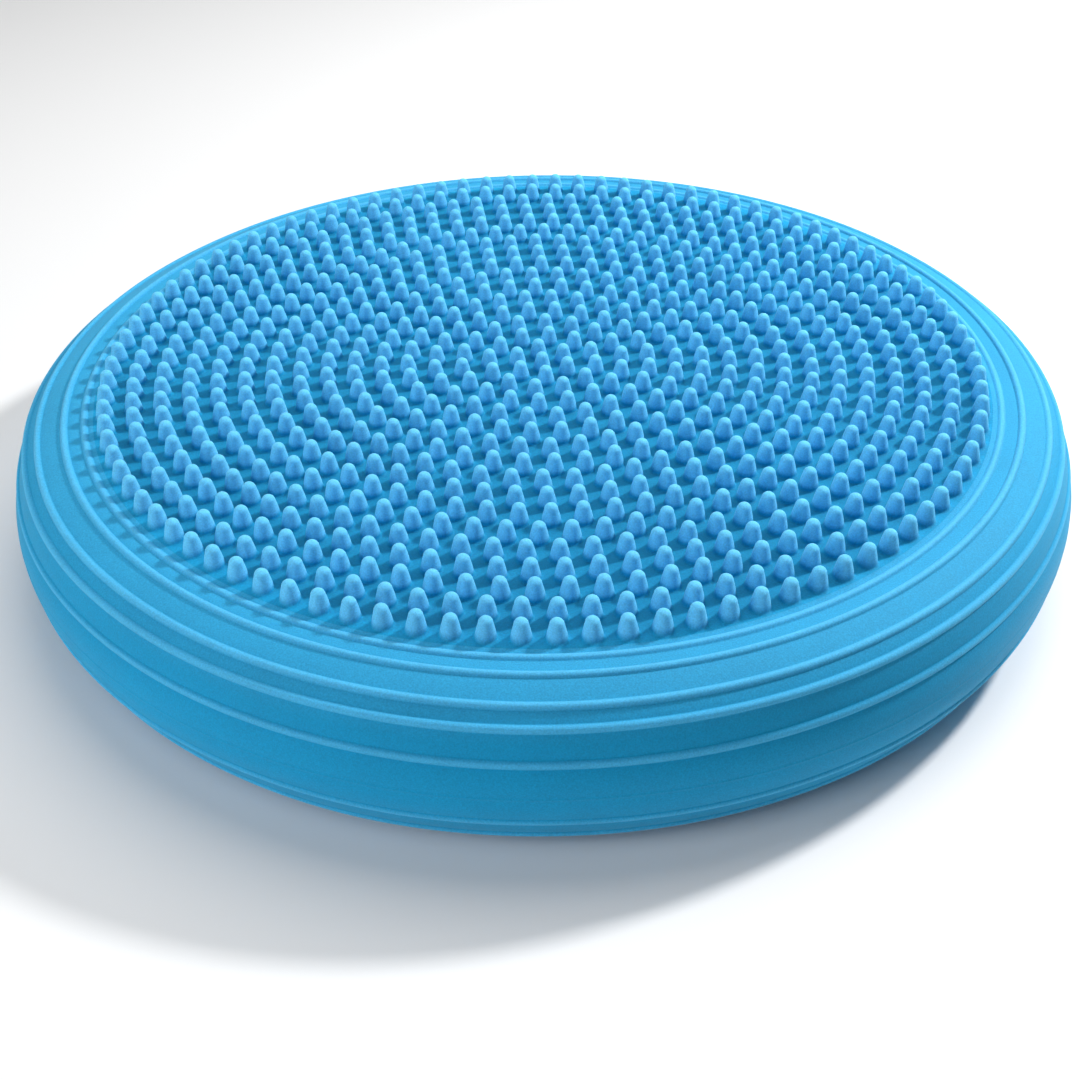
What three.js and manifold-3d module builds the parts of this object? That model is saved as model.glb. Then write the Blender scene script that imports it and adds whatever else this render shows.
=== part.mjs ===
// Air-filled balance disc: a hollow vinyl moulding with a nubbed top panel, and a valve in its side.
// Millimetres, +Z up. The origin is the centre of the underside, on the floor.
// The moulding is divided at its raised beads into a top panel, two soft shoulders, a side band and
// a bottom panel.

import * as THREE from 'three';
import { mergeGeometries, mergeVertices } from 'three/addons/utils/BufferGeometryUtils.js';
import Module from 'manifold-3d';

// Driving dimensions
const OUTER_RADIUS = 163.4;      // at the middle of the side band
const MID_HEIGHT = 25;           // from the floor to the middle of the side band
const SKIN = 2.8;                // wall of the moulding
const GAP = 0.3;                 // between neighbouring solids
const TURN_STEPS = 72;           // facets round the disc
const BASE_LIP = 1;              // how much thicker than the skin the bottom panel is

const PANEL_TOP_RISE = 23.9;     // of the flat floor that the nubs stand on, above the middle

// Skin corners of the upper half, [radius, height above the middle]. A raised bead runs round the disc
// on each of the first five. The lower half mirrors them.
const FIELD_CORNER = [139.6, PANEL_TOP_RISE];
const PANEL_CORNER = [145.6, 24.05];
const SHOULDER_CORNER_HIGH = [153.7, 21.3];
const SHOULDER_CORNER_LOW = [158, 17.8];
const BAND_CORNER = [161, 9.3];
const MIDDLE = [OUTER_RADIUS, 0];
const PANEL_RADIUS = 147;        // where the panel ends and the shoulder begins
const PANEL_EDGE_RISE = 23.6;    // of the skin there
const BEAD_WIDTH = 1.2;          // from a bead's middle to its foot
const BEAD_HEIGHT = 0.85;
const BEAD_TOP_SHARE = 0.4;      // of a bead's width that is its flat top
const BAND_STATIONS = [-1, -0.75, -0.4, 0, 0.4, 0.75, 1]; // up the side band, as shares of its half height

// Nub field
const NUB_RINGS = 16;
const NUB_PITCH = 8.33;          // from ring to ring
const NUBS_PER_RING_STEP = 6;    // ring k holds 6k nubs
const PATTERN_TURN = THREE.MathUtils.degToRad(7.25);
const HALF_STEP_RINGS = [2, 3, 6, 7, 11, 15, 16];
const NUB_SIDES = 4;
const NUB_FOOT_RADIUS = 3.3;     // of a nub's corners, at its foot
const NUB_SINK = 0.6;            // how far a nub's foot is sunk into the panel
const TIP_RISE_CENTRE = 29.5;    // above the middle of the side band
const TIP_DISH = 1.7;            // the outer ring's tips stand this much higher

// Valve, on the +Y side
const COLLAR_RADIUS = 6;
const COLLAR_INNER_END = 149;    // distance from the disc's axis
const COLLAR_OUTER_END = 161.6;
const CORE_RADIUS = 3.4;
const CORE_OUTER_END = 161.3;
const PASSAGE_RADIUS = 1.35;
const STEM_RADIUS = 1.05;
const STEM_INNER_END = 153;
const HEAD_RADIUS = 4.4;
const HEAD_INNER_FACE = 161.9;
const HEAD_EDGE = 0.5;           // bevel round the plug's head
const VALVE_STEPS = 24;
const COLLAR_TAPER = [1, 2];     // inwards, and along the valve
const CORE_TAPER = [1, 3];
const CORE_INSET = 1;            // of the core's inner end from the collar's
const STEM_TIP = 1;              // length of the stem's narrowing tip

const wasm = await Module();
wasm.setup();

function toSolid(geometry) {
  const bare = geometry.clone();
  bare.deleteAttribute('normal');
  bare.deleteAttribute('uv');
  const merged = mergeVertices(bare, 1e-4);
  return new wasm.Manifold(new wasm.Mesh({
    numProp: 3,
    vertProperties: new Float32Array(merged.attributes.position.array),
    triVerts: new Uint32Array(merged.index.array),
  }));
}

function toGeometry(solid) {
  const mesh = solid.getMesh();
  const geometry = new THREE.BufferGeometry();
  geometry.setAttribute('position', new THREE.BufferAttribute(new Float32Array(mesh.vertProperties), 3));
  geometry.setIndex(new THREE.BufferAttribute(new Uint32Array(mesh.triVerts), 1));
  geometry.computeVertexNormals();
  return geometry;
}

// A solid of revolution about +Z from [radius, height] points that run anticlockwise.
function turned(points, steps) {
  const profile = points.map(([radius, height]) => new THREE.Vector2(radius, height));
  return new THREE.LatheGeometry(profile, steps).rotateX(Math.PI / 2);
}

// A solid of revolution about the valve's axis: its points' heights are distances from the disc's axis.
function turnedValve(points) {
  const profile = points.map(([radius, reach]) => new THREE.Vector2(radius, reach));
  return new THREE.LatheGeometry(profile, VALVE_STEPS).translate(0, 0, MID_HEIGHT);
}

// The bead on the skin corner `at`: foot, two edges of its top, and foot again.
function bead(before, at, after) {
  const corner = new THREE.Vector2(...at);
  const back = new THREE.Vector2(...before).sub(corner).setLength(BEAD_WIDTH);
  const onward = new THREE.Vector2(...after).sub(corner).setLength(BEAD_WIDTH);
  const along = onward.clone().sub(back);
  const lift = new THREE.Vector2(-along.y, along.x).setLength(BEAD_HEIGHT);
  return [
    corner.clone().add(back),
    corner.clone().addScaledVector(back, BEAD_TOP_SHARE).add(lift),
    corner.clone().addScaledVector(onward, BEAD_TOP_SHARE).add(lift),
    corner.clone().add(onward),
  ].map((point) => [point.x, point.y]);
}

function matt(color) {
  return new THREE.MeshStandardMaterial({ color, roughness: 0.6, metalness: 0 });
}

function named(name, geometry, material) {
  const mesh = new THREE.Mesh(geometry, material);
  mesh.name = name;
  return mesh;
}

// One pointed nub for every place in the rings, and one at the centre.
function nubField() {
  const nubs = [];
  const foot = MID_HEIGHT + PANEL_TOP_RISE - NUB_SINK;
  for (let ring = 0; ring <= NUB_RINGS; ring += 1) {
    const radius = ring * NUB_PITCH;
    const count = Math.max(1, NUBS_PER_RING_STEP * ring);
    const step = 2 * Math.PI / count;
    const start = PATTERN_TURN + (HALF_STEP_RINGS.includes(ring) ? step / 2 : 0);
    const share = radius / (NUB_RINGS * NUB_PITCH);
    const height = MID_HEIGHT + TIP_RISE_CENTRE + TIP_DISH * share * share - foot;
    for (let index = 0; index < count; index += 1) {
      const angle = start + index * step;
      const nub = new THREE.ConeGeometry(NUB_FOOT_RADIUS, height, NUB_SIDES).rotateX(Math.PI / 2);
      nub.rotateZ(angle);
      nub.translate(radius * Math.sin(angle), -radius * Math.cos(angle), foot + height / 2);
      nubs.push(nub);
    }
  }
  return toSolid(mergeGeometries(nubs));
}

function nubDeck() {
  const top = MID_HEIGHT + PANEL_TOP_RISE;
  const beads = [
    ...bead([0, PANEL_TOP_RISE], FIELD_CORNER, PANEL_CORNER),
    ...bead(FIELD_CORNER, PANEL_CORNER, SHOULDER_CORNER_HIGH),
  ].map(([radius, rise]) => [radius, MID_HEIGHT + rise]);
  const plate = turned([
    [0, top - SKIN],
    [PANEL_RADIUS - SKIN, top - SKIN],
    [PANEL_RADIUS, MID_HEIGHT + PANEL_EDGE_RISE - SKIN / 2],
    [PANEL_RADIUS, MID_HEIGHT + PANEL_EDGE_RISE],
    ...beads.reverse(),
    [0, top],
  ], TURN_STEPS);
  return toGeometry(toSolid(plate).add(nubField()));
}

// The shoulder between a panel and the side band, with three beads. side is 1 for the upper one and
// -1 for the lower.
function shoulder(side) {
  const beads = [
    ...bead(PANEL_CORNER, SHOULDER_CORNER_HIGH, SHOULDER_CORNER_LOW),
    ...bead(SHOULDER_CORNER_HIGH, SHOULDER_CORNER_LOW, BAND_CORNER),
    ...bead(SHOULDER_CORNER_LOW, BAND_CORNER, MIDDLE),
  ];
  const [edgeRadius, edgeRise] = beads.at(-1);
  const points = [
    [PANEL_RADIUS + GAP, PANEL_EDGE_RISE - SKIN / 2],
    [PANEL_RADIUS + GAP, PANEL_EDGE_RISE],
    ...beads,
    [edgeRadius - SKIN, edgeRise],
    [SHOULDER_CORNER_LOW[0] - SKIN, SHOULDER_CORNER_LOW[1] - SKIN / 2],
    [SHOULDER_CORNER_HIGH[0] - SKIN / 2, SHOULDER_CORNER_HIGH[1] - SKIN],
    [PANEL_RADIUS + GAP, PANEL_EDGE_RISE - SKIN / 2],
  ].map(([radius, rise]) => [radius, MID_HEIGHT + side * rise]);
  return turned(side > 0 ? points.reverse() : points, TURN_STEPS);
}

// The side band bulges from shoulder to shoulder and is cut through for the valve's collar.
function sideBand() {
  const [shoulderRadius, shoulderRise] = bead(SHOULDER_CORNER_LOW, BAND_CORNER, MIDDLE).at(-1);
  const edgeRise = shoulderRise - GAP;
  const bulge = OUTER_RADIUS - shoulderRadius;
  const outer = [];
  for (const share of BAND_STATIONS) {
    outer.push([shoulderRadius + bulge * (1 - share * share), MID_HEIGHT + share * edgeRise]);
  }
  const inner = outer.map(([radius, height]) => [radius - SKIN, height]).reverse();
  const ring = turned([...outer, ...inner, outer[0]], TURN_STEPS);
  const holeEnd = OUTER_RADIUS + SKIN;
  const hole = turnedValve([
    [0, COLLAR_INNER_END],
    [COLLAR_RADIUS + GAP, COLLAR_INNER_END],
    [COLLAR_RADIUS + GAP, holeEnd],
    [0, holeEnd],
  ]);
  return toGeometry(toSolid(ring).subtract(toSolid(hole)));
}

function basePanel() {
  return turned([
    [0, 0],
    [PANEL_CORNER[0], 0],
    [PANEL_RADIUS, MID_HEIGHT - PANEL_EDGE_RISE],
    [PANEL_RADIUS, MID_HEIGHT - PANEL_EDGE_RISE + SKIN / 2],
    [PANEL_RADIUS - SKIN, SKIN + BASE_LIP],
    [0, SKIN + BASE_LIP],
  ], TURN_STEPS);
}

function valveCollar() {
  return turnedValve([
    [CORE_RADIUS + GAP, COLLAR_INNER_END],
    [COLLAR_RADIUS - COLLAR_TAPER[0], COLLAR_INNER_END],
    [COLLAR_RADIUS, COLLAR_INNER_END + COLLAR_TAPER[1]],
    [COLLAR_RADIUS, COLLAR_OUTER_END],
    [CORE_RADIUS + GAP, COLLAR_OUTER_END],
    [CORE_RADIUS + GAP, COLLAR_INNER_END],
  ]);
}

function valveCore() {
  const innerEnd = COLLAR_INNER_END + CORE_INSET;
  return turnedValve([
    [PASSAGE_RADIUS, innerEnd],
    [CORE_RADIUS - CORE_TAPER[0], innerEnd],
    [CORE_RADIUS, innerEnd + CORE_TAPER[1]],
    [CORE_RADIUS, CORE_OUTER_END],
    [PASSAGE_RADIUS, CORE_OUTER_END],
    [PASSAGE_RADIUS, innerEnd],
  ]);
}

function valvePlug() {
  return turnedValve([
    [0, STEM_INNER_END],
    [STEM_RADIUS / 2, STEM_INNER_END],
    [STEM_RADIUS, STEM_INNER_END + STEM_TIP],
    [STEM_RADIUS, HEAD_INNER_FACE],
    [HEAD_RADIUS, HEAD_INNER_FACE],
    [HEAD_RADIUS, OUTER_RADIUS - HEAD_EDGE],
    [HEAD_RADIUS - HEAD_EDGE, OUTER_RADIUS],
    [0, OUTER_RADIUS],
  ]);
}

const disc = new THREE.Group();
disc.add(named('nub_deck', nubDeck(), matt(0x4fb0e6)));
disc.add(named('upper_shoulder', shoulder(1), matt(0x3ea4dc)));
disc.add(named('side_band', sideBand(), matt(0x1f85bd)));
disc.add(named('lower_shoulder', shoulder(-1), matt(0x1c7cb2)));
disc.add(named('base_panel', basePanel(), matt(0x1c7cb2)));
disc.add(named('valve_collar', valveCollar(), matt(0x1f85bd)));
disc.add(named('valve_core', valveCore(), matt(0x2c2f33)));
disc.add(named('valve_plug', valvePlug(), matt(0xeceff0)));

export default disc;
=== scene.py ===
import math

import bmesh
import bpy
import numpy as np
from mathutils import Matrix, Vector
from mathutils.geometry import delaunay_2d_cdt


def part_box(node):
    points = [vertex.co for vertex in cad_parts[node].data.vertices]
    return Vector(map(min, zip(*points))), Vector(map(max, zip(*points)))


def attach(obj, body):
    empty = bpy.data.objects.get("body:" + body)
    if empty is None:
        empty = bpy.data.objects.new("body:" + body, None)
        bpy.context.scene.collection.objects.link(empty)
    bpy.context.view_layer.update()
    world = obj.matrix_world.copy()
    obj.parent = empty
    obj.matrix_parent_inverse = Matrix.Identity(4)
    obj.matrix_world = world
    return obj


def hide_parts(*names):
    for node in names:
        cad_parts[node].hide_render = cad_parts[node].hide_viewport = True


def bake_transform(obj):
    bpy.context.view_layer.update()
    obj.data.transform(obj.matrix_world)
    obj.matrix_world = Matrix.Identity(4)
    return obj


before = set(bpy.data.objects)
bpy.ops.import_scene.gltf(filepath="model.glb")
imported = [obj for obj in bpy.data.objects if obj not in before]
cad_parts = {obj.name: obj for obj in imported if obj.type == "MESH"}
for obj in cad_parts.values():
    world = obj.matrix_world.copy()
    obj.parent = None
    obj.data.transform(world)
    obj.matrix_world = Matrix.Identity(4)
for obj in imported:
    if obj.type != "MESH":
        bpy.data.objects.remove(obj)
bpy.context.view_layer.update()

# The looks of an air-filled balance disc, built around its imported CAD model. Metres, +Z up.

MM = 0.001
SEED = 7
GAP = 0.3                        # between neighbouring solids, in millimetres

# ---------------------------------------------------------------- sizes, in millimetres, from the frame


def node_box(name):
    """Lowest and highest corner of a CAD node, in millimetres."""
    low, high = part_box(name)
    return low / MM, high / MM


BAND_LOW, BAND_HIGH = node_box("side_band")
DECK_HIGH = node_box("nub_deck")[1]
HEAD_LOW, HEAD_HIGH = node_box("valve_plug")
COLLAR_LOW, COLLAR_HIGH = node_box("valve_collar")
CORE_LOW, CORE_HIGH = node_box("valve_core")

OUTER_RADIUS = BAND_HIGH.x
MID = (BAND_LOW.z + BAND_HIGH.z) / 2

# The meridian of the upper half without its beads: radius, height above the middle, and how far the
# stretch that starts there swells outwards. The lower half mirrors it, with its corners set in a little.
EDGE = (137.0, 24.75, 0.05)
BEAD_CORNERS = [
    (139.6, 24.15, 0.02),
    (145.6, 24.05, 0.25),
    (153.7, 21.3, 0.12),
    (158.0, 17.8, 0.4),
    (161.1, 9.3, 0.7),
]
LOWER_INSET = (0.0, 0.3, 0.6, 0.8, -0.4)
MIDDLE = (OUTER_RADIUS, 0.0, 0.0)
BEAD_HEIGHT = 0.85
BEAD_HALF_WIDTH = 1.2
BEAD_FLATNESS = 2.2              # powers that give a bead its flat crest and its steep feet
BEAD_STEEPNESS = 0.9
BEAD_REACH = 1.35                # half widths on each side of a bead that have close rows
BEAD_ROWS = 17
PROFILE_STEP = 0.25              # of the profile's first points
ROW_STEP = 0.8                   # between rows on plain skin, at most
PLAIN = 0.5                      # the painted_light attribute on plain skin, where no light or shade is painted
BEAD_HIGHLIGHT = 0.2                  # painted highlight: how far a bead's crest goes from plain skin, 0, to fully pale, 0.5
TOP_SHEEN = 0.09                  # painted sheen: how far the top of the shoulders, which faces the lights, goes the same way
TOP_SHEEN_LOW = 14.0              # rises between which that sets in
TOP_SHEEN_HIGH = 22.0
PARTING_HEIGHT = 0.14
PARTING_HALF_WIDTH = 0.5

# Slow waves in the skin: height, waves round the disc, phase, and phase per millimetre of height.
WAVES = ((0.10, 3, 0.6, 0.0), (0.06, 7, 2.1, 0.05), (0.04, 13, 0.0, 0.09))
WAVE_START = 137.0               # radius where they set in, and over what distance
WAVE_FADE = 8.0

# The underside: a shallow dish with plain round ribs.
UNDERSIDE_DISH = 1.2
UNDERSIDE_STEP = 2.0
RIB_SPACING = 22.0
RIB_FIRST = 11.0
RIB_HALF_WIDTH = 1.5
RIB_HEIGHT = 0.35
RIB_ROWS = 9

NUB_RINGS = 16
NUB_PITCH = 8.33
NUBS_PER_RING_STEP = 6
PATTERN_TURN = math.radians(7.25)
HALF_STEP_RINGS = (2, 3, 6, 7, 11, 15, 16)
OUTER_RING_TURN = math.radians(-0.5)
INNER_RINGS = 11
TIP_DISH = 1.7
GAP_SHADE_LEVEL = 0.22                # painted shade: level of the panel's floor among the nubs, where plain skin is 0.5
PANEL_RISE_CENTRE = 23.2
PANEL_DISH = 1.6
NUB_SIDES = 18
NUB_FOOT = (3.5, 0.0)            # radius, and share of the nub's height
NUB_BODY = (2.75, 0.11)
NUB_SHOULDER = (1.92, 0.72)
NUB_BELLY = 0.06
NUB_HEIGHT_SPREAD = 0.05         # from nub to nub
NUB_LEAN_SPREAD = 0.012
NUB_SHADE_REACH = 1.5            # how far inside the last ring's circle the gaps' painted shade begins to clear
PALE_FROM = 0.34                 # share of a nub's height above which it is fully pale, a painted glow and highlight

TURN_STEPS = 288
VALVE_REACH = 16.0
VALVE_CELLS = 20
HOLE_CELLS = 4
HOLE_RADIUS = (COLLAR_HIGH.x - COLLAR_LOW.x) / 2 + GAP

# ---------------------------------------------------------------- meshes


def make_piece(name, verts_mm, faces, material, painted_light=None):
    """A mesh object. painted_light is low in the gaps between nubs as painted shade, 0.5 on plain skin and
    1 on the palest nubs as a painted glow.
    """
    mesh = bpy.data.meshes.new(name)
    mesh.from_pydata([tuple(v) for v in np.asarray(verts_mm, float) * MM], [], [tuple(f) for f in faces])
    if painted_light is not None:
        mesh.attributes.new("painted_light", "FLOAT", "POINT").data.foreach_set("value", np.asarray(painted_light, float))
    mesh.validate()
    mesh.update()
    mesh.polygons.foreach_set("use_smooth", [True] * len(mesh.polygons))
    mesh.materials.append(material)
    piece = bpy.data.objects.new(name, mesh)
    bpy.context.scene.collection.objects.link(piece)
    return piece


def turn_angles():
    """Azimuths round the disc, evenly spaced, with finer steps beside the valve at +Y."""
    reach = VALVE_REACH / OUTER_RADIUS
    fine = np.linspace(-reach, reach, 2 * VALVE_CELLS + 1)
    coarse_count = TURN_STEPS - round(TURN_STEPS * reach / math.pi)
    coarse = np.linspace(reach, 2 * math.pi - reach, coarse_count + 1)[1:-1]
    return np.concatenate([fine, coarse])


ANGLES = turn_angles()


def around(radius, height):
    """Points at every azimuth. Azimuth 0 is the valve's, at +Y."""
    return np.stack([radius * np.sin(ANGLES), radius * np.cos(ANGLES), np.full(len(ANGLES), height)], 1)


def meridian(corners, spacing):
    """Points along a line of corners, each stretch swollen outwards as an arc."""
    points = [np.array(corners[0][:2])]
    marks = [0.0]
    for (r0, z0, swell), (r1, z1, _) in zip(corners, corners[1:]):
        a, b = np.array([r0, z0]), np.array([r1, z1])
        length = np.linalg.norm(b - a)
        out = np.array([(a - b)[1], (b - a)[0]]) / length
        out = out if out @ np.array([1.0, 1.0]) > 0 else -out
        count = max(2, round(length / spacing))
        for t in np.linspace(0, 1, count + 1)[1:]:
            points.append(a + (b - a) * t + out * swell * 4 * t * (1 - t))
        marks.append(marks[-1] + count)
    return np.array(points), [int(m) for m in marks]


def resample(points, targets, spacing):
    """The line again, with points near each bead set closely together. Returns points and arc lengths."""
    steps = np.linalg.norm(np.diff(points, axis=0), axis=1)
    lengths = np.concatenate([[0], np.cumsum(steps)])
    wanted = {0.0, lengths[-1]}
    for centre, half in targets:
        near = np.linspace(-half * BEAD_REACH, half * BEAD_REACH, BEAD_ROWS)
        wanted.update(np.clip(centre + near, 0, lengths[-1]))
    knots = sorted(wanted)
    filled = []
    for a, b in zip(knots, knots[1:]):
        filled += list(np.linspace(a, b, max(1, math.ceil((b - a) / spacing)) + 1)[:-1])
    filled.append(knots[-1])
    at = np.array(filled)
    keep = np.concatenate([[True], np.diff(at) > 1e-4])
    at = at[keep]
    line = np.stack([np.interp(at, lengths, points[:, 0]), np.interp(at, lengths, points[:, 1])], 1)
    return line, at


def smooth_normals(line, reach=3):
    """Outward normals of the line, each averaged with reach neighbours on both sides."""
    tangents = np.gradient(line, axis=0)
    kernel = np.ones(2 * reach + 1)
    padded = np.pad(tangents, ((reach, reach), (0, 0)), mode="edge")
    soft = np.stack([np.convolve(padded[:, i], kernel, "valid") for i in (0, 1)], 1)
    soft /= np.linalg.norm(soft, axis=1)[:, None]
    normals = np.stack([-soft[:, 1], soft[:, 0]], 1)
    return np.where((normals @ np.array([1.0, 1.0]) > 0)[:, None], normals, -normals)


def half_profile(insets):
    """A half's meridian from the panel's edge to the parting line, beads included."""
    set_in = [(radius - inset, rise, swell) for (radius, rise, swell), inset in zip(BEAD_CORNERS, insets)]
    corners = [EDGE, *set_in, MIDDLE]
    fine, marks = meridian(corners, PROFILE_STEP)
    steps = np.linalg.norm(np.diff(fine, axis=0), axis=1)
    lengths = np.concatenate([[0], np.cumsum(steps)])
    beads = [(lengths[m], BEAD_HALF_WIDTH) for m in marks[1:-1]]
    line, at = resample(fine, beads + [(lengths[-1], PARTING_HALF_WIDTH)], ROW_STEP)
    lift = np.zeros(len(at))
    for centre, half in beads:
        x = np.clip(np.abs(at - centre) / half, 0, 1)
        lift += BEAD_HEIGHT * (1 - x ** BEAD_FLATNESS) ** BEAD_STEEPNESS
    x = np.clip(np.abs(at - lengths[-1]) / PARTING_HALF_WIDTH, 0, 1)
    lift += PARTING_HEIGHT * (1 - x ** 2)
    on_bead = at < lengths[-1] - PARTING_HALF_WIDTH
    # Painted highlight on each bead's crest.
    painted_light = PLAIN + BEAD_HIGHLIGHT * np.clip(lift / BEAD_HEIGHT, 0, 1) * on_bead
    # Painted sheen on the shoulders' upward tops.
    painted_light += TOP_SHEEN * np.clip((line[:, 1] - TOP_SHEEN_LOW) / (TOP_SHEEN_HIGH - TOP_SHEEN_LOW), 0, 1)
    lifted = line + smooth_normals(line) * lift[:, None]
    return np.column_stack([lifted, painted_light])


def open_hole(points):
    """Widens the middle of the fine grid beside the valve into a round hole, in azimuth and height."""
    across = np.arctan2(points[:, 0], points[:, 1]) * OUTER_RADIUS
    up = points[:, 2] - MID
    reach_up = BEAD_CORNERS[-1][1] - BEAD_HALF_WIDTH
    start = HOLE_CELLS / VALVE_CELLS
    far = np.maximum(np.abs(across) / VALVE_REACH, np.abs(up) / reach_up)
    inside = (far < 1) & (points[:, 1] > 0)
    share = np.clip((far - start) / (1 - start), 0, 1)
    turn = np.arctan2(up / reach_up, across / VALVE_REACH)
    new_across = HOLE_RADIUS * np.cos(turn) * (1 - share) + across * share
    new_up = HOLE_RADIUS * np.sin(turn) * (1 - share) + up * share
    return inside, far, new_across, new_up


PROFILES = {1: half_profile([0.0] * len(BEAD_CORNERS)), -1: half_profile(LOWER_INSET)}


def band_radius(rise, side):
    """Radius of the side band at a height above the middle, in the upper or the lower half."""
    line = PROFILES[side][::-1]
    return np.interp(np.abs(rise), line[:, 1], line[:, 0])


def skin_rows(side):
    """Radius and height of each row of the skin's grid. Rows near the middle suit the valve's hole."""
    reach_up = BEAD_CORNERS[-1][1] - BEAD_HALF_WIDTH
    above = PROFILES[side][PROFILES[side][:, 1] > reach_up]
    rises = np.linspace(1, 0, VALVE_CELLS + 1)[1:] * reach_up
    near = [(band_radius(rise, side), rise, PLAIN) for rise in rises]
    rows = list(above) + [(band_radius(reach_up, side), reach_up, PLAIN)] + near
    return [(radius, MID + side * rise, painted_light) for radius, rise, painted_light in rows]


def uneven(points):
    """Slow waves of a tenth of a millimetre, as a soft moulding has."""
    x, y, z = points.T
    azimuth = np.arctan2(x, y)
    wave = sum(size * np.sin(count * azimuth + phase + slant * z) for size, count, phase, slant in WAVES)
    radius = np.maximum(np.hypot(x, y), 1e-9)
    fade = np.clip((radius - WAVE_START) / WAVE_FADE, 0, 1)
    out = np.stack([x / radius, y / radius, np.zeros(len(x))], 1)
    return points + out * (wave * fade)[:, None]


def skin(side, extra_rows):
    """One half of the moulding's outer skin as a grid of quads, with its half of the valve's hole."""
    rows = extra_rows + skin_rows(side)
    verts = np.concatenate([around(radius, height) for radius, height, _ in rows])
    painted_light = np.repeat([row[2] for row in rows], len(ANGLES))
    inside, far, new_across, new_up = open_hole(verts)
    start = HOLE_CELLS / VALVE_CELLS
    azimuth = new_across / OUTER_RADIUS
    radius = band_radius(new_up, side)
    moved = np.stack([radius * np.sin(azimuth), radius * np.cos(azimuth), MID + new_up], 1)
    verts = np.where(inside[:, None], moved, verts)
    count = len(ANGLES)
    faces = []
    if extra_rows:
        centre = len(verts)
        verts = np.concatenate([verts, [(0.0, 0.0, extra_rows[0][1])]])
        painted_light = np.append(painted_light, PLAIN)
        faces = [((column + 1) % count, column, centre) for column in range(count)]
    for row in range(len(rows) - 1):
        for column in range(count):
            a = row * count + column
            b = row * count + (column + 1) % count
            quad = (a, b, b + count, a + count)
            furthest = far[list(quad)].max()
            if inside[list(quad)].all() and furthest <= start + 1e-6:
                continue
            faces.append(quad if side < 0 else quad[::-1])
    used = sorted({v for f in faces for v in f})
    index = {v: i for i, v in enumerate(used)}
    return uneven(verts[used]), [tuple(index[v] for v in f) for f in faces], painted_light[used]


def base_rows():
    """The underside's rows from near its centre to the shoulder's edge."""
    ribs = np.arange(RIB_FIRST, EDGE[0] - RIB_HALF_WIDTH, RIB_SPACING)
    radii = set(np.arange(UNDERSIDE_STEP, EDGE[0], UNDERSIDE_STEP))
    for rib in ribs:
        radii = {radius for radius in radii if abs(radius - rib) > RIB_HALF_WIDTH}
        radii.update(rib + np.linspace(-1, 1, RIB_ROWS) * RIB_HALF_WIDTH)
    rows = []
    for radius in sorted(radii):
        dish = UNDERSIDE_DISH * (1 - (radius / EDGE[0]) ** 2)
        away = min(1.0, np.abs(ribs - radius).min() / RIB_HALF_WIDTH)
        rib = RIB_HEIGHT * (1 - away ** 2) ** 2
        rows.append((radius, MID - EDGE[1] + dish - rib, PLAIN))
    return rows


def nub_places(rings):
    """Centre of every nub in those rings. Ring 0 is the one nub in the middle."""
    places = []
    for ring in rings:
        radius = ring * NUB_PITCH
        count = max(1, NUBS_PER_RING_STEP * ring)
        step = 2 * math.pi / count
        start = PATTERN_TURN + (step / 2 if ring in HALF_STEP_RINGS else 0)
        start += OUTER_RING_TURN if ring == NUB_RINGS else 0
        for index in range(count):
            angle = start + index * step
            places.append((radius * math.sin(angle), -radius * math.cos(angle)))
    return np.array(places)


def panel_height(radius):
    """Height of the panel's floor: a shallow dish, met by a rounded rim beyond the last ring of nubs."""
    share = np.clip(radius / (NUB_RINGS * NUB_PITCH), 0, 1)
    rim = np.clip((radius - NUB_RINGS * NUB_PITCH) / (EDGE[0] - NUB_RINGS * NUB_PITCH), 0, 1)
    level = PANEL_RISE_CENTRE + PANEL_DISH * share ** 2
    return MID + level * (1 - rim ** 2) + EDGE[1] * rim ** 2


def gap_shade(radius):
    """The panel floor's painted_light value: painted shade, low among the nubs, plain skin beyond their
    last ring.
    """
    share = (radius - NUB_RINGS * NUB_PITCH + NUB_SHADE_REACH) / (EDGE[0] - NUB_RINGS * NUB_PITCH)
    return GAP_SHADE_LEVEL + (PLAIN - GAP_SHADE_LEVEL) * min(1.0, max(0.0, share))


def nub_shape():
    """Radius and share of height, from the flared foot up to the last row under the tip."""
    foot, body, shoulder = NUB_FOOT, NUB_BODY, NUB_SHOULDER
    rows = [foot]
    for t in (0.25, 0.5, 0.75, 1.0):
        turn = t * math.pi / 2
        rows.append((foot[0] - (foot[0] - body[0]) * math.sin(turn), body[1] * (1 - math.cos(turn))))
    for t in (0.34, 0.67, 1.0):
        belly = NUB_BELLY * math.sin(math.pi * t)
        radius = body[0] + (shoulder[0] - body[0]) * t + belly
        rows.append((radius, body[1] + (shoulder[1] - body[1]) * t))
    for t in (0.2, 0.4, 0.6, 0.8):
        turn = t * math.pi / 2
        rows.append((shoulder[0] * math.cos(turn), shoulder[1] + (1 - shoulder[1]) * math.sin(turn)))
    return rows


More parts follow.
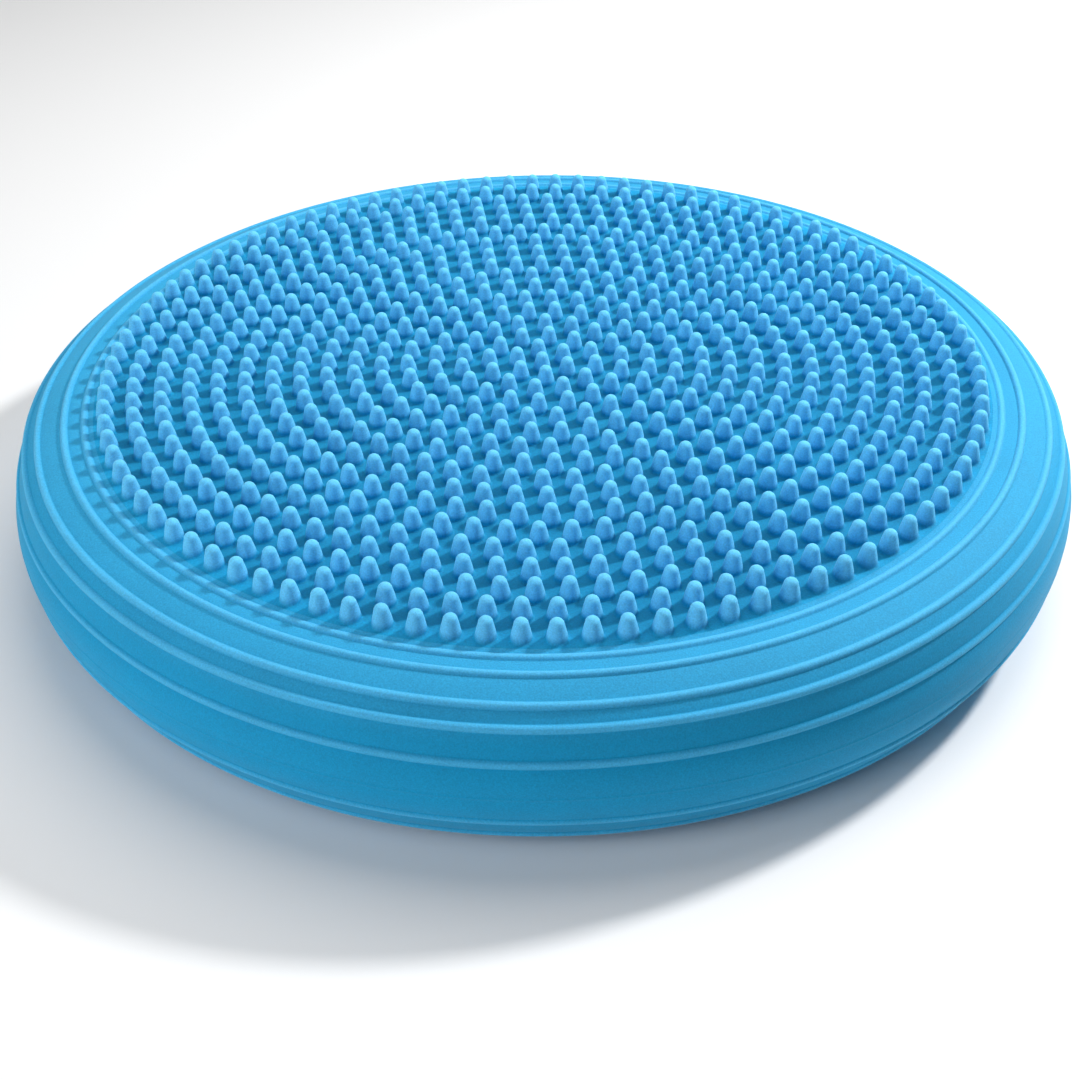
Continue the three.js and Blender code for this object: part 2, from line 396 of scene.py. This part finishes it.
def tactile_panel(name, rings, inner_radius, outer_radius, material, rng):
    """A ring of the nubbed panel, with its floor triangulated between the nubs' feet."""
    places = nub_places(rings)
    shape = nub_shape()
    sides = np.arange(NUB_SIDES) * 2 * math.pi / NUB_SIDES
    circle = np.stack([np.cos(sides), np.sin(sides)], 1)
    verts, faces, loops, flat, painted_light = [], [], [], [], []
    for x, y in places:
        base = len(verts)
        distance = math.hypot(x, y)
        floor = panel_height(distance)
        share = distance / (NUB_RINGS * NUB_PITCH)
        height = DECK_HIGH.z - TIP_DISH * (1 - share ** 2) - floor
        height += rng.normal(0, NUB_HEIGHT_SPREAD)
        lean = rng.normal(0, NUB_LEAN_SPREAD, 2)
        for row, (radius, up) in enumerate(shape):
            for cx, cy in circle:
                px = x + radius * cx + lean[0] * up * height
                py = y + radius * cy + lean[1] * up * height
                pz = panel_height(math.hypot(px, py)) if row == 0 else floor + up * height
                verts.append((px, py, pz))
                # Painted shade at the nub's foot, rising to a painted glow and highlight up the nub; the
                # tip is fully pale.
                low = gap_shade(math.hypot(px, py))
                painted_light.append(low + (1 - low) * min(1.0, up / PALE_FROM))
        verts.append((x + lean[0] * height, y + lean[1] * height, floor + height))
        painted_light.append(1.0)
        for row in range(len(shape) - 1):
            for side in range(NUB_SIDES):
                a = base + row * NUB_SIDES + side
                b = base + row * NUB_SIDES + (side + 1) % NUB_SIDES
                faces.append((a, b, b + NUB_SIDES, a + NUB_SIDES))
        top = base + (len(shape) - 1) * NUB_SIDES
        tip = base + len(shape) * NUB_SIDES
        faces += [(top + side, top + (side + 1) % NUB_SIDES, tip) for side in range(NUB_SIDES)]
        loops.append(len(flat))
        flat += list(range(base, base + NUB_SIDES))
    owner = {v: n for n, start in enumerate(loops) for v in flat[start:start + NUB_SIDES]}
    rims = []
    for radius in (inner_radius, outer_radius):
        if radius > 0:
            rim = around(radius, panel_height(radius))
            rims.append(list(range(len(verts), len(verts) + len(rim))))
            verts += [tuple(p) for p in rim]
    flat += [v for rim in rims for v in rim]
    points = [Vector(verts[v][:2]) for v in flat]
    place_of = {v: i for i, v in enumerate(flat)}
    edges = [(start + i, start + (i + 1) % NUB_SIDES) for start in loops for i in range(NUB_SIDES)]
    for rim in rims:
        edges += [(place_of[rim[i]], place_of[rim[(i + 1) % len(rim)]]) for i in range(len(rim))]
    _, _, triangles, origin, _, _ = delaunay_2d_cdt(points, edges, [], 0, 1e-5)
    back = [flat[group[0]] for group in origin]
    hole = set(rims[0]) if len(rims) == 2 else set()
    for triangle in triangles:
        corner = [back[v] for v in triangle]
        owners = {owner.get(v) for v in corner}
        if len(owners) == 1 and None not in owners:
            continue
        if hole and hole.issuperset(corner):
            continue
        faces.append(tuple(corner))
    # Painted shade on the floor's rim points as well.
    painted_light += [gap_shade(math.hypot(*point[:2])) for point in verts[len(painted_light):]]
    return make_piece(name, verts, faces, material, painted_light)


def turned_about_valve(name, profile, steps, material):
    """A solid of revolution about the valve's axis from (radius, distance from the disc's axis) points."""
    verts, faces = [], []
    closed = profile[0][0] > 0
    for radius, reach in profile:
        for step in range(steps):
            turn = 2 * math.pi * step / steps
            verts.append((radius * math.cos(turn), reach, MID + radius * math.sin(turn)))
    pairs = len(profile) if closed else len(profile) - 1
    for row in range(pairs):
        for step in range(steps):
            a = row * steps + step
            b = row * steps + (step + 1) % steps
            c = ((row + 1) % len(profile)) * steps
            faces.append((a, b, c + (step + 1) % steps, c + step))
    piece = make_piece(name, verts, faces, material)
    weld(piece)
    return piece


def weld(piece):
    """Merges points that lie together and turns all faces outwards."""
    grid = bmesh.new()
    grid.from_mesh(piece.data)
    bmesh.ops.remove_doubles(grid, verts=grid.verts, dist=1e-6)
    bmesh.ops.dissolve_degenerate(grid, edges=grid.edges, dist=1e-7)
    bmesh.ops.recalc_face_normals(grid, faces=grid.faces)
    grid.to_mesh(piece.data)
    grid.free()


def rounded(points, radius, steps=4):
    """The line of points with each inner corner cut to a small round."""
    result = [points[0]]
    for before, corner, after in zip(points, points[1:], points[2:]):
        a, c, b = (np.array(p, float) for p in (before, corner, after))
        reach = min(radius, np.linalg.norm(a - c) * 0.45, np.linalg.norm(b - c) * 0.45)
        start = c + (a - c) / np.linalg.norm(a - c) * reach
        end = c + (b - c) / np.linalg.norm(b - c) * reach
        for t in np.linspace(0, 1, steps + 1):
            result.append(tuple((1 - t) ** 2 * start + 2 * t * (1 - t) * c + t ** 2 * end))
    result.append(points[-1])
    return result


# ---------------------------------------------------------------- materials


def new_material(name, color, roughness):
    """A material with its node tree and its shader, set to an even colour and roughness."""
    material = bpy.data.materials.new(name)
    material.use_nodes = True
    shader = material.node_tree.nodes["Principled BSDF"]
    shader.inputs["Base Color"].default_value = (*color, 1)
    shader.inputs["Roughness"].default_value = roughness
    return material, material.node_tree, shader


def add(tree, kind, **inputs):
    """A new node with some of its inputs set. An underscore in a name stands for a space."""
    node = tree.nodes.new(kind)
    for name, value in inputs.items():
        node.inputs[name.replace("_", " ")].default_value = value
    return node


# Base colours along painted_light: painted shade in the gaps at 0, the vinyl's plain colour at 0.5, painted
# glow and highlight at 1.
VINYL_SHADES = ((0.0, (0.0, 0.155, 0.285)), (0.5, (0.003, 0.29, 0.55)), (1.0, (0.13, 0.57, 0.91)))
VINYL_COLOR = VINYL_SHADES[1][1]
VINYL_MOTTLE = 0.16
MOTTLE_SHARE = 0.3               # strength of the slow mottling beside the fine speckle
VINYL_ROUGHNESS = 0.68
VINYL_ROUGHNESS_SPREAD = (-0.06, 0.08)
VINYL_FIXED = {
    "Subsurface Weight": 0.4,
    "Subsurface Radius": (1.0, 1.0, 1.0),
    "Subsurface Scale": 0.0008,
    "Specular IOR Level": 0.15,
    "Sheen Weight": 0.06,
    "Sheen Roughness": 0.5,
}
NOISE_MIDDLE = 0.5               # of a noise texture, and how far most of it lies from there
NOISE_REACH = 0.25


def make_vinyl():
    """Soft matt vinyl that lets light through its thin nubs and beads, with mottling and a fine speckle;
    painted shade and painted highlights come from the painted_light attribute.
    """
    material, tree, shader = new_material("vinyl_blue", VINYL_COLOR, VINYL_ROUGHNESS)
    for socket, value in VINYL_FIXED.items():
        shader.inputs[socket].default_value = value
    link = tree.links.new
    place = tree.nodes.new("ShaderNodeTexCoord").outputs["Object"]
    mottle = add(tree, "ShaderNodeTexNoise", Scale=45.0, Detail=5.0, Roughness=0.62)
    grain = add(tree, "ShaderNodeTexNoise", Scale=2200.0, Detail=2.0, Roughness=0.6)
    for texture in (mottle, grain):
        link(place, texture.inputs["Vector"])
    both = tree.nodes.new("ShaderNodeMath")
    both.operation = "MULTIPLY_ADD"
    both.inputs[1].default_value = MOTTLE_SHARE
    link(mottle.outputs["Fac"], both.inputs[0])
    link(grain.outputs["Fac"], both.inputs[2])
    shade = tree.nodes.new("ShaderNodeMapRange")
    shade.inputs["From Min"].default_value = (1 + MOTTLE_SHARE) * NOISE_MIDDLE - NOISE_REACH
    shade.inputs["From Max"].default_value = (1 + MOTTLE_SHARE) * NOISE_MIDDLE + NOISE_REACH
    shade.inputs["To Min"].default_value = 1 - VINYL_MOTTLE
    shade.inputs["To Max"].default_value = 1 + VINYL_MOTTLE
    link(both.outputs[0], shade.inputs["Value"])
    # Painted shade and highlight: the painted_light attribute picks the base colour from VINYL_SHADES.
    height = tree.nodes.new("ShaderNodeAttribute")
    height.attribute_name = "painted_light"
    light_ramp = tree.nodes.new("ShaderNodeValToRGB")
    light_ramp.color_ramp.elements.new(0.5)
    for element, (position, color) in zip(light_ramp.color_ramp.elements, VINYL_SHADES):
        element.position = position
        element.color = (*color, 1)
    link(height.outputs["Fac"], light_ramp.inputs["Fac"])
    tint = tree.nodes.new("ShaderNodeVectorMath")
    tint.operation = "SCALE"
    link(light_ramp.outputs["Color"], tint.inputs["Vector"])
    link(shade.outputs["Result"], tint.inputs["Scale"])
    link(tint.outputs["Vector"], shader.inputs["Base Color"])
    rough = tree.nodes.new("ShaderNodeMapRange")
    rough.inputs["To Min"].default_value = VINYL_ROUGHNESS + VINYL_ROUGHNESS_SPREAD[0]
    rough.inputs["To Max"].default_value = VINYL_ROUGHNESS + VINYL_ROUGHNESS_SPREAD[1]
    link(mottle.outputs["Fac"], rough.inputs["Value"])
    link(rough.outputs["Result"], shader.inputs["Roughness"])
    bump = add(tree, "ShaderNodeBump", Strength=0.35, Distance=0.00012)
    link(grain.outputs["Fac"], bump.inputs["Height"])
    link(bump.outputs["Normal"], shader.inputs["Normal"])
    return material


VALVE_SHADES = (0.85, 1.1)       # darkest and lightest of a valve material's grain, as shares of its colour


def make_valve_material(name, color, roughness, grain_scale):
    """Plain rubber or plastic with a fine grain."""
    material, tree, shader = new_material(name, color, roughness)
    link = tree.links.new
    place = tree.nodes.new("ShaderNodeTexCoord").outputs["Object"]
    grain = add(tree, "ShaderNodeTexNoise", Scale=grain_scale, Detail=3.0, Roughness=0.6)
    link(place, grain.inputs["Vector"])
    ramp = tree.nodes.new("ShaderNodeValToRGB")
    for element, share in zip(ramp.color_ramp.elements, VALVE_SHADES):
        element.color = (*[min(1, c * share) for c in color], 1)
    link(grain.outputs["Fac"], ramp.inputs["Fac"])
    link(ramp.outputs["Color"], shader.inputs["Base Color"])
    bump = add(tree, "ShaderNodeBump", Strength=0.3, Distance=0.0001)
    link(grain.outputs["Fac"], bump.inputs["Height"])
    link(bump.outputs["Normal"], shader.inputs["Normal"])
    return material


# ---------------------------------------------------------------- build

rng = np.random.default_rng(SEED)
vinyl = make_vinyl()
rubber = make_valve_material("valve_rubber", (0.025, 0.028, 0.03), 0.6, 600.0)
plastic = make_valve_material("valve_plastic", (0.80, 0.81, 0.80), 0.4, 300.0)

SPLIT_RADIUS = (INNER_RINGS + 0.5) * NUB_PITCH
inner_panel = tactile_panel("tactile_panel_inner", range(0, INNER_RINGS + 1), 0, SPLIT_RADIUS, vinyl, rng)
outer_panel = tactile_panel(
    "tactile_panel_outer", range(INNER_RINGS + 1, NUB_RINGS + 1), SPLIT_RADIUS, EDGE[0], vinyl, rng)
for panel in (inner_panel, outer_panel):
    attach(panel, "deck")
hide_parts("nub_deck")

verts, faces, painted_light = skin(1, [])
upper_skin = make_piece("upper_skin", verts, faces, vinyl, painted_light)
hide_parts("upper_shoulder", "side_band")

verts, faces, painted_light = skin(-1, base_rows())
lower_skin = make_piece("lower_skin", verts, faces, vinyl, painted_light)
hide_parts("lower_shoulder", "base_panel")
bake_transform(upper_skin)
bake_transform(lower_skin)

# Valve profiles are (radius about the valve's axis, distance from the disc's axis).
BOSS_STEPS = 64                  # facets round the valve's axis
VALVE_STEPS = 48
BOSS_BORE = CORE_HIGH.x + GAP
BOSS_LIP = HOLE_RADIUS + 1.4
BOSS_FACE = OUTER_RADIUS + 0.5
boss_profile = rounded([
    (BOSS_BORE, COLLAR_HIGH.y),
    (HOLE_RADIUS - 0.9, COLLAR_HIGH.y),
    (HOLE_RADIUS - 0.5, BOSS_FACE),
    (BOSS_LIP - 0.4, BOSS_FACE),
    (BOSS_LIP, BOSS_FACE - 3.5),
    (HOLE_RADIUS - GAP, BOSS_FACE - 3.9),
    (HOLE_RADIUS - GAP, COLLAR_LOW.y),
    (BOSS_BORE, COLLAR_LOW.y),
    (BOSS_BORE, COLLAR_HIGH.y),
], 0.4)[:-1]
boss = turned_about_valve("valve_boss", boss_profile, BOSS_STEPS, vinyl)
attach(boss, "waist")
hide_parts("valve_collar")

PASSAGE_RADIUS = 1.35
PASSAGE_MOUTH = (1.9, 0.8)       # radius and depth of the needle passage's countersink
CORE_TAPER = 3.0
core_profile = rounded([
    (PASSAGE_RADIUS, CORE_LOW.y),
    (CORE_HIGH.x, CORE_LOW.y + CORE_TAPER),
    (CORE_HIGH.x, CORE_HIGH.y),
    (PASSAGE_MOUTH[0], CORE_HIGH.y),
    (PASSAGE_RADIUS, CORE_HIGH.y - PASSAGE_MOUTH[1]),
    (PASSAGE_RADIUS, CORE_LOW.y),
], 0.3)[:-1]
core = turned_about_valve("valve_core_insert", core_profile, VALVE_STEPS, rubber)
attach(core, "waist")
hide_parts("valve_core")

ON_AXIS = 1e-4
STEM_RADIUS = 1.05
STEM_TIP = (0.55, 1.2)           # radius at the tip, and the length over which it widens
HEAD_RADIUS = HEAD_HIGH.x
HEAD_THICKNESS = 1.5
HEAD_DISH = 0.35
plug_profile = rounded([
    (ON_AXIS, HEAD_LOW.y),
    (STEM_TIP[0], HEAD_LOW.y),
    (STEM_RADIUS, HEAD_LOW.y + STEM_TIP[1]),
    (STEM_RADIUS, HEAD_HIGH.y - HEAD_THICKNESS),
    (HEAD_RADIUS - 0.3, HEAD_HIGH.y - HEAD_THICKNESS),
    (HEAD_RADIUS, HEAD_HIGH.y - 0.7),
    (HEAD_RADIUS - 0.5, HEAD_HIGH.y),
    (HEAD_RADIUS - 1.6, HEAD_HIGH.y),
    (HEAD_RADIUS - 2.0, HEAD_HIGH.y - HEAD_DISH),
    (ON_AXIS, HEAD_HIGH.y - HEAD_DISH),
], 0.25)
plug = turned_about_valve("valve_stopper", plug_profile, VALVE_STEPS, plastic)
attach(plug, "plug")
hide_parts("valve_plug")

# ---------------------------------------------------------------- camera, floor and light

CAMERA_DISTANCE = 0.4977
CAMERA_ELEVATION = math.radians(36.2)
CAMERA_ROLL = math.radians(0.67)
CAMERA_LENS = 52.13
CAMERA_SENSOR = 36
AIM_HEIGHT = MID * MM + 0.00955
AIM_SIDE = 0.0008
AIM_RISE = 0.0423


def make_camera():
    """Looks along +Y from above. The view's axis passes below the aimed-at point by AIM_RISE."""
    right = Vector((1, 0, 0))
    forward = Vector((0, math.cos(CAMERA_ELEVATION), -math.sin(CAMERA_ELEVATION)))
    up = right.cross(forward)
    roll = Matrix.Rotation(CAMERA_ROLL, 3, forward)
    right, up = roll @ right, roll @ up
    aim = Vector((0, 0, AIM_HEIGHT))
    place = aim - forward * CAMERA_DISTANCE - right * AIM_SIDE - up * AIM_RISE
    data = bpy.data.cameras.new("camera")
    data.sensor_width = CAMERA_SENSOR
    data.lens = CAMERA_LENS
    camera = bpy.data.objects.new("camera", data)
    turn = Matrix((right, up, -forward)).transposed()
    camera.matrix_world = Matrix.Translation(place) @ turn.to_4x4()
    bpy.context.scene.collection.objects.link(camera)
    bpy.context.scene.camera = camera


def add_area(name, place, target, size, power):
    """A round area light that faces its target."""
    data = bpy.data.lights.new(name, "AREA")
    data.shape = "DISK"
    data.size = size
    data.energy = power
    light = bpy.data.objects.new(name, data)
    light.location = place
    light.rotation_euler = (Vector(target) - Vector(place)).to_track_quat("-Z", "Y").to_euler()
    bpy.context.scene.collection.objects.link(light)


FLOOR_COLOR = (0.88, 0.88, 0.88)
FLOOR_ROUGHNESS = 0.8
FLOOR_REACH = 3.0
FLOOR_DROP = 0.0001              # keeps the disc's lowest bead clear of the floor


def make_floor():
    """A plain white floor."""
    mesh = bpy.data.meshes.new("floor")
    signs = ((-1, -1), (1, -1), (1, 1), (-1, 1))
    corners = [(x * FLOOR_REACH, y * FLOOR_REACH, -FLOOR_DROP) for x, y in signs]
    mesh.from_pydata(corners, [], [(0, 1, 2, 3)])
    floor = bpy.data.objects.new("floor", mesh)
    mesh.materials.append(new_material("floor_white", FLOOR_COLOR, FLOOR_ROUGHNESS)[0])
    bpy.context.scene.collection.objects.link(floor)


make_camera()
make_floor()
add_area("key", (0.62, 0.28, 0.62), (0.0, 0.0, 0.05), 0.10, 7.9)
add_area("overhead", (0.08, 0.32, 1.0), (0.0, 0.0, 0.05), 0.9, 5.8)
add_area("front_fill", (-0.15, -0.6, 0.9), (0.0, 0.0, 0.05), 0.5, 1.1)
add_area("left_fill", (-0.65, -0.50, 0.28), (0.0, 0.0, 0.03), 0.5, 3.0)
WORLD_COLOR = (0.95, 0.98, 1.0, 1)
WORLD_STRENGTH = 0.12
world = bpy.data.worlds.new("studio")
world.use_nodes = True
background = world.node_tree.nodes["Background"]
background.inputs["Color"].default_value = WORLD_COLOR
background.inputs["Strength"].default_value = WORLD_STRENGTH
bpy.context.scene.world = world
bpy.context.scene.view_settings.view_transform = "Standard"
